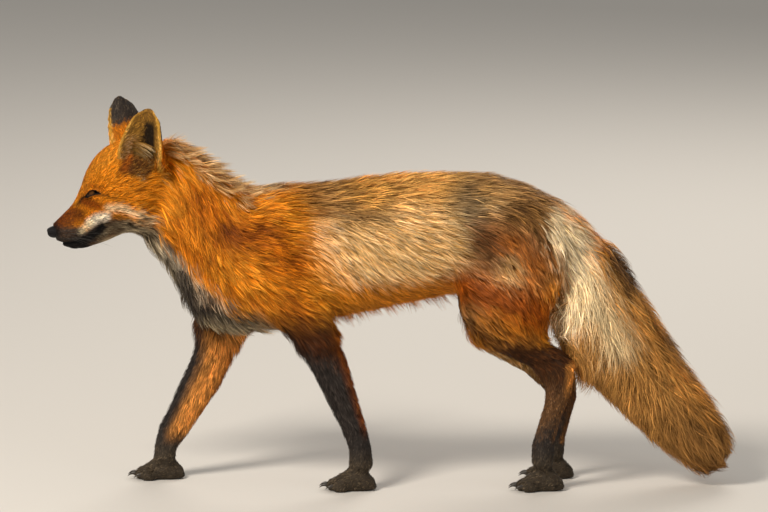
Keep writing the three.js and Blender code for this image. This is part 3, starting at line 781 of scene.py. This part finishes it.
def lie_of_coat(points, names):
    """Which way the hairs point at each place, before they are laid against the skin."""
    x, y, z = points.T
    kind = kinds_of(names)
    lie = np.zeros_like(points)

    def set_lie(where, along, out, up):
        lie[where] = np.column_stack(np.broadcast_arrays(along, out * np.sign(y), up))[where]

    sinking = (1 - step(300, 365, z)) * (0.25 + 0.75 * (1 - step(-60, 70, x)))
    set_lie(kind == "trunk", 1, 0.0, -0.12 - sinking - 0.5 * step(110, 220, x))
    below = 1 - step(-0.7, 0.7, smooth_out @ (0.84, 0, 0.54))
    hanging = 0.8 * below * (1 - step(330, 400, x))
    set_lie(kind == "tail", 0.54 + 0.1 * step(260, 380, x) - hanging, 0.12, -0.84)
    set_lie(kind == "thigh", 0.85 - 0.5 * step(120, 200, x), 0, -0.5 - 0.5 * step(100, 180, x))
    upper = z > HOCK_HEIGHT
    set_lie(kind == "shank", np.where(upper, 0.9, -0.1), 0, np.where(upper, -0.5, -1))
    from_nose = unit(points * (1, 0.6, 1) - NOSE_TIP)
    falling = step(-380, -330, x) * (1 - step(380, 410, z))
    set_lie(kind == "lower", 1, 0, -0.1)
    lie[kind == "head"] = (from_nose + (0.15, 0, -0.25) * falling[:, None])[kind == "head"]
    neck_down = step(-310, -250, x) * (1 - step(395, 430, z))
    set_lie(kind == "neck", 0.75 - 0.35 * neck_down, 0.1, -0.45 - 0.6 * neck_down)
    from_whorl = unit((points - WHORL) * (1, 0, 1))
    shoulder = (kind == "shoulder") | ((kind == "trunk") & (x < -110))
    lie[shoulder] = (0.8 * from_whorl + (0.85, 0, -0.55))[shoulder]
    set_lie(shoulder & (x < -205), 0.25, 0, -1)
    set_lie(names == "forearm_left", 0.42, 0, -0.9)
    set_lie(names == "forearm_right", -0.35, 0, -0.93)
    upper = z > PAW_HEIGHT
    set_lie(np.isin(kind, list(PAWS)), np.where(upper, -0.1, -1), 0, np.where(upper, -1, -0.3))
    across, up, within = in_ear(points, smooth_out)
    for side in EARS:
        _, _, rise, _, front = ear_ways(side)
        here = (kind == "ear") & (points[:, 1] * side > 0)
        fanned = step(0, 0.3, within) * step(-0.1, 0.3, across)
        lie[here] = (rise + fanned[:, None] * ((1.5 * up - 1.3)[:, None] * rise - front))[here]
    return unit(lie)


length_at = spread(hair_length(shape, node_at), edges, 0.5, 60)
depth_at = coat_depth(shape, node_at, edges, 60) * step(0.5, 6, shape[:, 2])
lie_at = spread(lie_of_coat(shape, node_at), edges, 0.5, 14)
lie_at = unit(lie_at - (lie_at * smooth_out).sum(axis=1, keepdims=True) * smooth_out)
skin_tree = BVHTree.FromPolygons(shape.tolist(), skin_faces.tolist())
face_out = unit(smooth_out[skin_faces].mean(axis=1))
face_lie = unit(lie_at[skin_faces].mean(axis=1))
face_middle = shape[skin_faces].mean(axis=1)
face_node = node_at[skin_faces[:, 0]]
corners = [shape[skin_faces[:, corner]] for corner in range(3)]
face_area = np.linalg.norm(np.cross(corners[1] - corners[0], corners[2] - corners[0]), axis=1) / 2
skin_uv = np.zeros(len(skin.data.loops) * 2)
skin.data.uv_layers["OFBake"].data.foreach_get("uv", skin_uv)
skin_uv = skin_uv.reshape(-1, 3, 2)


def against_skin(points):
    """The nearest places on the skin, and the faces they are on."""
    spots, faces = np.empty_like(points), np.empty(len(points), dtype=int)
    for row, point in enumerate(points.tolist()):
        spot, _, face, _ = skin_tree.find_nearest(point)
        spots[row], faces[row] = spot, face
    return spots, faces


def sow(count, crowd, rng):
    """Roots spread over the skin; crowd is how thickly they stand on each face."""
    share = np.cumsum(face_area * crowd)
    face = np.searchsorted(share, rng.random(count) * share[-1]).clip(0, len(share) - 1)
    a, b = rng.random((2, count))
    a, b = np.where(a + b > 1, 1 - a, a), np.where(a + b > 1, 1 - b, b)
    corner = np.column_stack([1 - a - b, a, b])
    at = skin_faces[face]

    def mixed(values):
        return (values[at] * corner.reshape(count, 3, *[1] * (values.ndim - 1))).sum(axis=1)

    uv = (skin_uv[face] * corner[:, :, None]).sum(axis=1)
    return {
        "place": mixed(shape), "out": unit(mixed(smooth_out)), "lie": unit(mixed(lie_at)),
        "length": mixed(length_at), "depth": mixed(depth_at), "uv": uv,
        "shares": {part: mixed(share) for part, share in share_at.items()},
    }


ROOTED, DROOP = 0.6, 0.22  # mm under the skin, and how far the tips of free locks hang


def comb(roots, joints, reach, twist, cling):
    """The line of each lock: it leaves the skin, bends over and follows the lie of the coat."""
    count = len(roots["place"])
    line = np.empty((count, joints + 1, 3))
    line[:, 0] = roots["place"] - ROOTED * roots["out"]
    out, lie = roots["out"], roots["lie"]
    if not cling:  # long hairs that stand free of the coat
        course = unit(lie + twist[:, None] * unit(np.cross(out, lie)) + 0.5 * twist[:, None] * out)
        share = np.linspace(0, 1, joints + 1)[None, :, None]
        reached = roots["length"][:, None, None] * share * (course[:, None] - (0, 0, DROOP) * share)
        return line[:, :1] + reached
    rise = np.minimum(roots["depth"] * reach, 0.8 * roots["length"])
    stretch = roots["length"] / joints
    before = np.zeros(count)
    for joint in range(1, joints + 1):
        course = unit(lie + twist[:, None] * np.cross(out, lie))
        height = rise * (1 - (1 - joint / joints) ** 1.8)
        climb = height - before
        before = height
        flat = np.sqrt(np.maximum(stretch**2 - climb**2, (0.35 * stretch) ** 2))
        free = line[:, joint - 1] + course * flat[:, None] + out * climb[:, None]
        spots, faces = against_skin(free)
        out = unit(out + 1.2 * face_out[faces])
        lie = unit(lie + 0.8 * face_lie[faces])
        lie = unit(lie - (lie * out).sum(axis=1, keepdims=True) * out)
        held = spots + face_out[faces] * height[:, None]
        line[:, joint] = free + cling * (held - free)
    return line


def leaders_of(roots, each, rng):
    """Which lock each lock follows: the nearest of a few leaders."""
    count = len(roots["place"])
    leaders = rng.permutation(count)[: max(count // each, 1)]
    tree = KDTree(len(leaders))
    for row, leader in enumerate(leaders):
        tree.insert(roots["place"][leader], row)
    tree.balance()
    return leaders[[tree.find(point)[1] for point in roots["place"].tolist()]]


def draw_together(line, follows, pull, rng):
    """Locks lean towards the tip of their leader."""
    shares = np.linspace(0, 1, line.shape[1]) ** 1.3
    strength = pull * rng.uniform(0.4, 1.3, len(line))
    wanted = line[follows] + (line[:, :1] - line[follows][:, :1]) * 0.25
    return line + (wanted - line) * (strength[:, None] * shares)[:, :, None]


MAP_PATCH = 0.003  # side of the place that each lock has on the unwrap
# painted shade: each lock darkens towards its root, partly its own darker base and partly the shade deep in
# the coat
ROOT_UNDERFUR_AND_SHADE = 0.5  # of the hair's dye
TAPER = [(0, 0.75), (0.3, 1), (0.7, 0.7), (1, 0)]  # a lock's width along it
ROLL = 0.25  # how far the ribbons turn on edge, in radians


def weave(name, line, roots, width, hair, tip, rng):
    """Joins all locks of a piece: each is a ribbon that tapers to a point."""
    count, joints = len(line), line.shape[1] - 1
    across = unit(np.cross(np.gradient(line, axis=1), roots["out"][:, None, :]))
    roll = rng.normal(0, ROLL, count)[:, None, None]
    across = across * np.cos(roll) + roots["out"][:, None, :] * np.sin(roll)
    taper = np.interp(np.linspace(0, 1, joints + 1), *np.transpose(TAPER))
    half = across * (taper[None, :, None] * (width / 2)[:, None, None])
    left, right = line - half, line + half
    points = np.concatenate([left[:, :-1], right[:, :-1], line[:, -1:]], axis=1)
    faces = []
    for joint in range(joints - 1):
        faces += [(joint, joints + joint, joints + joint + 1), (joint, joints + joint + 1, joint + 1)]
    faces.append((joints - 1, 2 * joints - 1, 2 * joints))
    first_points = (2 * joints + 1) * np.arange(count)
    faces = (np.array(faces)[None] + first_points[:, None, None]).reshape(-1, 3)
    piece = piece_from(name, points.reshape(-1, 3), faces)
    share = np.concatenate([np.linspace(0, 1, joints + 1)[:-1]] * 2 + [[1]])
    base = hair * ROOT_UNDERFUR_AND_SHADE
    root_to_middle = step(0, 0.45, share)[None, :, None]
    to_tip = step(0.5, 0.9, share)[None, :, None] * roots["tipped"][:, None, None]
    colour = base[:, None] + (hair - base)[:, None] * root_to_middle
    colour = colour + (tip[:, None] - colour) * to_tip
    dye_mesh(piece.data, (colour * roots["bright"][:, None, None]).reshape(-1, 3))
    patch = np.column_stack([[-0.5] * joints + [0.5] * joints + [0], share - 0.5]) * MAP_PATCH
    uv = np.clip(roots["uv"][:, None] + patch[None], 0.0005, 0.9995).reshape(-1, 2)[faces.ravel()]
    piece.data.uv_layers.new(name="OFBake").data.foreach_set("uv", uv.astype(np.float32).ravel())
    return piece


hair_finish, shader, build = finish_of("hair", Roughness=0.6, Specular_IOR_Level=0.12)
pigment_of(build).into(shader, "Base Color")
LENGTHS, WIDTHS = (0.7, 1.15), (0.7, 1.25)  # the least and the most of a lock's, in shares of the usual
DARK_LOCKS = 0.12  # share of the leaders whose locks are dark


def grow(name, where, count, width, seed, joints=3, long=1.0, length=None, reach=(0.35, 1.25),
         pull=0.5, each=9, stray=0.14, cling=0.75, crowd=None, lie=None, dyes=None):
    """Sows, combs, draws together and weaves the locks of one piece of the coat.

    reach is how high the lowest and highest tips stand, in shares of the coat's depth. pull, stray
    and cling say how much locks lean to their leader, turn aside and keep to the skin.
    """
    rng = np.random.default_rng(seed)
    roots = sow(count, where.astype(float) if crowd is None else where * crowd, rng)
    if lie is not None:
        roots["lie"] = unit(lie(roots))
    if length is not None:
        roots["length"] = np.full(count, float(length))
    roots["length"] = roots["length"] * long * rng.uniform(*LENGTHS, count)
    follows = leaders_of(roots, each, rng)
    chance, lot = rng.random((2, count))
    upper = 0.45 * rng.random(count) + 0.55 * lot[follows]  # locks of one leader lie at like heights
    rise = reach[0] + (reach[1] - reach[0]) * upper
    twist = rng.normal(0, stray, count)
    line = comb(roots, joints, rise, 0.5 * twist + 0.9 * twist[follows], cling)
    line = draw_together(line, follows, pull, rng)
    shown = roots["place"] + 0.6 * (line[:, -1] - roots["place"])  # where most of the lock is seen
    hair, tip = markings(shown, roots["out"], roots["shares"], 0.5 * chance + 0.5 * chance[follows])
    if dyes is not None:
        hair[:], tip[:] = dye(dyes[0]), dye(dyes[1])
    own = chance[follows] - 0.5
    roots["tipped"] = np.clip(rng.normal(0.35, 0.4, count) + 0.5 * own + 0.3 * upper, 0, 1)
    dark = (lot[follows] + 0.1 * chance) < DARK_LOCKS
    # each lock's brightness: random tone and dark locks, plus painted shade that leaves the lower-lying locks
    # darker than the higher ones
    roots["bright"] = np.exp(rng.normal(-0.28, 0.28, count) + 0.75 * own + 0.4 * upper - 0.8 * dark)
    piece = weave(name, line, roots, width * rng.uniform(*WIDTHS, count), hair, tip, rng)
    piece.data.materials.append(hair_finish)
    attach(piece, "root")


def is_part(*kinds):
    return np.isin(kinds_of(face_node), kinds)


face_x, face_y, face_z = face_middle.T
on_face = face_x < -340
bare = (off_opening(face_middle) < 0.5) & (abs(face_y) > 14) | (off_path(face_middle, MOUTH) < 1.2)
bare = bare & on_face | (off_nose(face_middle) < 1.1)
haired = ~bare & ~(face_z < 4)  # all but the rims, the leather and the soles

for side, here, seed in (("left", face_y < 0, 21), ("right", face_y >= 0, 22)):
    grow(f"coat_flank_{side}", is_part("trunk") & here & haired, 38000, 0.8, seed, each=7,
         pull=0.42)
grow("coat_neck", is_part("neck") & haired, 38000, 0.8, seed=23)
grow("coat_shoulders", is_part("shoulder") & haired, 30000, 0.8, seed=24)
grow("coat_thighs", is_part("thigh") & haired, 30000, 0.8, seed=25)


def tail_lie(roots):
    """The tail's hairs spread outwards, and those below hang."""
    hang = step(0, 0.8, -roots["out"][:, 2])[:, None]
    return roots["lie"] + 0.28 * roots["out"] + hang * (-0.35, 0, -0.35)


grow("coat_tail", is_part("tail") & haired, 38000, 0.95, seed=26, reach=(0.5, 1.6), stray=0.24,
     each=6, pull=0.35, lie=tail_lie, cling=0.3)
grow("coat_legs", is_part("forearm", "shank", *PAWS) & haired, 34000, 0.7, seed=27, joints=2,
     each=6, pull=0.2, stray=0.1, reach=(0.3, 1.0))
grow("coat_head", is_part("head", "lower") & haired, 64000, 0.45, seed=28, joints=2, pull=0.28,
     each=6, crowd=1 + 1.6 * (1 - step(-360, -320, face_x)))
grow("coat_ears", is_part("ear") & haired, 14000, 0.5, seed=29, joints=2, pull=0.2, cling=1,
     reach=(0.3, 0.9))

# ---------------------------------------------------------------- Crest and fringes
# Longer, looser hairs that stand off the coat: the pale crest of the nape and withers, the fringe
# under the belly and behind the thighs, the ruff of the cheeks and the beard of the breast.


def crest_lie(roots):
    """The crest leans back and stands up from the skin."""
    return (0.9, 0, -0.25) + 0.85 * roots["out"]


def fringe_lie(roots):
    """Fringes hang down from the edge of the coat."""
    return roots["lie"] + (0.1, 0, -0.65)


def ruff_lie(roots):
    """The ruff points back, outwards and a little down."""
    side = np.sign(roots["place"][:, 1:2])
    return roots["lie"] + (0.5, 0, -0.35) + side * (0, 0.75, 0)


on_crest = is_part("neck", "trunk") & (crest_share(face_middle, face_out) > 0.45)
grow("crest", on_crest, 3400, 0.45, seed=31, long=0.95, lie=crest_lie, cling=0, pull=0.8,
     each=12, stray=0.26, dyes=("straw", "cream"))

on_fringe = is_part("trunk") & (face_out[:, 2] < -0.2) & (face_x > -125) & (face_x < 112)
on_fringe = on_fringe | is_part("thigh") & (face_out[:, 0] < -0.2) & (face_z > 205)
on_fringe = on_fringe | is_part("thigh") & (face_out[:, 0] > 0.4)
grow("fringe", on_fringe, 6500, 0.6, seed=32, long=0.8, lie=fringe_lie, cling=0, pull=0.65,
     stray=0.2)

RUFF = [(-328, 352), (-304, 338), (-292, 322)]
on_ruff = is_part("head", "neck") & (off_path(face_middle, RUFF) < 16) & (abs(face_y) > 26)
grow("ruff", on_ruff, 3600, 0.55, seed=35, lie=ruff_lie, cling=0.3, reach=(0.7, 1.8), pull=0.6,
     each=10, stray=0.2)

BREAST = [(-330, 312), (-290, 300), (-262, 262), (-236, 228), (-200, 204), (-160, 196)]
on_breast = (off_path(face_middle, BREAST) < 24) & is_part("neck", "trunk", "shoulder") & (face_x > -335)
grow("breast_fringe", on_breast, 5000, 0.8, seed=34, long=0.95, lie=fringe_lie, cling=0.1,
     reach=(0.6, 1.7), pull=0.7, each=10, stray=0.2)

# ---------------------------------------------------------------- Eyes
# Glassy balls, amber darkened by painted shade as if under the brow, with an upright slit of a
# pupil, each turned forwards and outwards behind its lids.

IRIS, PUPIL = 6.3, (1.0, 4.2)  # radius of the iris, and half the pupil's width and height
GAZE = np.array((-0.62, 0.78, -0.02))
# the iris is laid a dark amber-brown, painted shade for the brow that shades the squinting eye
SHADED_AMBER, GLASS_GREY = np.array((0.11, 0.04, 0.007)), 0.004


def ringed(rings, sides, base=0):
    """Faces that join rings of points one after the other; base is the number of the first point."""
    faces = []
    for ring in range(rings - 1):
        for side in range(sides):
            a = base + ring * sides + side
            b = base + ring * sides + (side + 1) % sides
            faces += [(a, b, b + sides), (a, b + sides, a + sides)]
    return faces


def ball_of(radius, sides=40, rings=28):
    """Points and faces of a ball, in rings from its lowest point to its highest."""
    turn = np.linspace(0, 2 * np.pi, sides, endpoint=False)
    turn, rise = (grid.ravel() for grid in np.meshgrid(turn, np.linspace(-np.pi / 2, np.pi / 2, rings)))
    points = np.column_stack([np.cos(rise) * np.cos(turn), np.cos(rise) * np.sin(turn), np.sin(rise)])
    return points * radius, np.array(ringed(rings, sides))


glass, shader, build = finish_of("eye_glass", Roughness=0.08, Specular_IOR_Level=0.09)
pigment_of(build).into(shader, "Base Color")
for name, side in (("left", -1), ("right", 1)):
    points, faces = ball_of(EYE_ROUND)
    gaze = unit(GAZE * (1, side, 1))
    level = unit(np.cross(gaze, (0, 0, 1)))
    off_axis = points - (points @ gaze)[:, None] * gaze
    radius = np.where(points @ gaze > 0, np.linalg.norm(off_axis, axis=1), np.inf)
    slit = np.hypot(off_axis @ level / PUPIL[0], off_axis[:, 2] / PUPIL[1])
    iris = (1 - step(IRIS - 0.5, IRIS + 0.3, radius))[:, None]
    amber = SHADED_AMBER * (0.55 + 0.45 * step(1, IRIS, radius))[:, None]
    colour = dye("black") + iris * (amber - dye("black"))
    colour = colour * step(0.75, 1.15, slit)[:, None] + GLASS_GREY
    ball = piece_from(f"eyeball_{name}", points + EYE * (1, side, 1), faces)
    dye_mesh(ball.data, colour)
    ball.data.materials.append(glass)
    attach(ball, "root")
    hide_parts(f"eye_{name}")

# ---------------------------------------------------------------- Nose
# Bare black leather, moist and finely grained, with a comma of a nostril on each side and a
# groove between them. It caps the end of the muzzle.

NOSTRIL = [  # way from the middle of the nose, width and depth, from the round front to the tail of the comma
    ((-0.84, 0.44, -0.02), 0.2, 0.42), ((-0.7, 0.66, -0.16), 0.15, 0.34), ((-0.5, 0.84, -0.24), 0.12, 0.26),
    ((-0.3, 0.93, -0.27), 0.1, 0.18), ((-0.1, 0.96, -0.27), 0.08, 0.1),
]
SQUARENESS = 2.7
NOSE_FIT, NOSE_SHIFT = (1.0, 0.97, 0.94), (1.0, 0, 0.8)
ways, faces = ball_of(1, 88, 64)
hollow = np.zeros(len(ways))
for side in (-1, 1):
    for way, wide, deep in NOSTRIL:
        gap = np.linalg.norm(ways - unit(np.array(way) * (1, side, 1)), axis=1)
        hollow = np.maximum(hollow, deep * hump(gap, wide))
groove = 0.1 * hump(ways[:, 1], 0.07) * (ways[:, 0] < -0.2) * step(0.5, -0.1, ways[:, 2])
reach = (abs(ways) ** SQUARENESS).sum(axis=1) ** (-1 / SQUARENESS) - hollow - groove
points = ways * reach[:, None] * NOSE_HALF * NOSE_FIT
points[:, 0] -= 0.16 * points[:, 2]  # the front leans over the lip
points[:, 1] *= 1 - 0.12 * step(0, 8, -points[:, 2])  # and it narrows downwards
points[:, 2] -= 0.32 * step(-2, 9, -points[:, 0]) * np.maximum(points[:, 2], 0)  # its top slopes
nose_piece = piece_from("nose_leather", points + NOSE + NOSE_SHIFT, faces)
leather, shader, build = finish_of(
    "nose_leather", Base_Color=(0.008, 0.007, 0.008, 1), Roughness=0.45, Specular_IOR_Level=0.16)
grain = build.node("ShaderNodeTexVoronoi", Scale=900.0)
build.node("ShaderNodeBump", Height=grain, Strength=0.5, Distance=0.0004).into(shader, "Normal")
nose_piece.data.materials.append(leather)
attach(nose_piece, "root")
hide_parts("nose")

# ---------------------------------------------------------------- Ear tufts
# Long cream hairs inside each ear, rooted along its front edge and fanned back over the hollow.
# They keep dust and rain out of it.


def tuft_lie(roots):
    """The tufts point back over the hollow, those rooted lower down downwards."""
    _, up, _ = in_ear(roots["place"], roots["out"])
    lie = np.empty_like(roots["place"])
    for side in EARS:
        here = roots["place"][:, 1] * side > 0
        _, _, rise, opening, front = ear_ways(side)
        lie[here] = (1.3 * up[here, None] - 0.5) * rise + 0.12 * opening - front
    return lie


ear_across, ear_up, ear_within = in_ear(face_middle, face_out)
on_rim = (ear_within > 0.3) & (ear_across > 0.2) & (ear_across < 0.62) & (ear_up > 0.02) & (ear_up < 0.45)
on_rim = on_rim & (is_part("ear") | (ear_floor(face_middle, face_out) > 0.4))
grow("ear_tufts", on_rim, 1100, 0.42, seed=33, length=25, lie=tuft_lie, cling=0, pull=0.6,
     each=8, stray=0.2, dyes=("olive", "cream"))

# ---------------------------------------------------------------- Claws
# Dark horn, a little flattened and curved downwards, one at the end of each toe. Each grows out
# of the skin over the toe.

TOES = [(-0.36, 0.12, 8), (-0.13, 0, 2), (0.13, 0, -2), (0.36, 0.12, -8)]  # across, back, splay in degrees
CLAW_LONG, CLAW_THICK, CLAW_RINGS, CLAW_SIDES = 10, 2.3, 7, 8
CLAW_HEIGHT = 0.235  # in shares of the paw's height


def ring_of(sides, wide, high, middle):
    """A ring of points round a middle, upright and across the animal."""
    angle = np.linspace(0, 2 * np.pi, sides, endpoint=False)
    return np.column_stack([0 * angle, wide * np.cos(angle), high * np.sin(angle)]) + middle


claw_points, claw_faces = [], []
for length, width, height, front in paws():
    for across, back, splay in TOES:
        start = front + (back * length, across * width, height * CLAW_HEIGHT)
        turn = math.radians(splay)
        ahead, aside = (math.cos(turn), math.sin(turn), 0), (-math.sin(turn), math.cos(turn), 0)
        claw_faces += ringed(CLAW_RINGS, CLAW_SIDES, sum(map(len, claw_points)))
        for share in np.arange(CLAW_RINGS) / (CLAW_RINGS - 1):
            thick = CLAW_THICK * (1 - share) ** 0.7 + 0.05
            middle = (-CLAW_LONG * share, 0, 1.2 * math.sin(share * 2.2) - 4.6 * share**2)
            ring = ring_of(CLAW_SIDES, thick * 0.75, thick, middle)
            claw_points.append(ring @ np.array([ahead, aside, (0, 0, 1)]) + start)
claws = piece_from("claws", np.concatenate(claw_points), np.array(claw_faces))
horn, _, _ = finish_of("claw_horn", Base_Color=(0.035, 0.028, 0.022, 1), Roughness=0.35)
claws.data.materials.append(horn)
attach(claws, "root")

# ---------------------------------------------------------------- Whiskers
# Stiff black bristles in three rows on each side of the muzzle, swept back and thinned to a point.
# Those farther back are longer.

WHISKER_ROWS = [(-411, 325), (-406, 321), (-402, 316)]  # along and up, of the first one in each
IN_ROW, WHISKER_GAP, WHISKER_RINGS, WHISKER_SIDES = 4, 5.2, 6, 4
rng = np.random.default_rng(41)
whisker_points, whisker_faces = [], []
for side in (-1, 1):
    for row, (front_x, row_z) in enumerate(WHISKER_ROWS):
        for place in range(IN_ROW):
            beside = Vector((front_x + WHISKER_GAP * place, side * 14, row_z + 0.8 * place))
            start = np.array(skin_tree.find_nearest(beside)[0])
            long = rng.uniform(22, 30) + 5 * place
            course = unit(np.array((0.85, 0.42 * side, 0.1 - 0.1 * row + rng.normal(0, 0.06))))
            whisker_faces += ringed(WHISKER_RINGS, WHISKER_SIDES, sum(map(len, whisker_points)))
            for share in np.arange(WHISKER_RINGS) / (WHISKER_RINGS - 1):
                bend = np.array((4, -2.5 * side, -5)) * share**2
                thick = 0.2 * (1 - share) + 0.03
                middle = start + course * long * share + bend
                whisker_points.append(ring_of(WHISKER_SIDES, thick, thick, middle))
whiskers = piece_from("whiskers", np.concatenate(whisker_points), np.array(whisker_faces))
bristle, _, _ = finish_of("whisker_bristle", Base_Color=(0.03, 0.025, 0.02, 1), Roughness=0.4)
whiskers.data.materials.append(bristle)
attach(whiskers, "root")
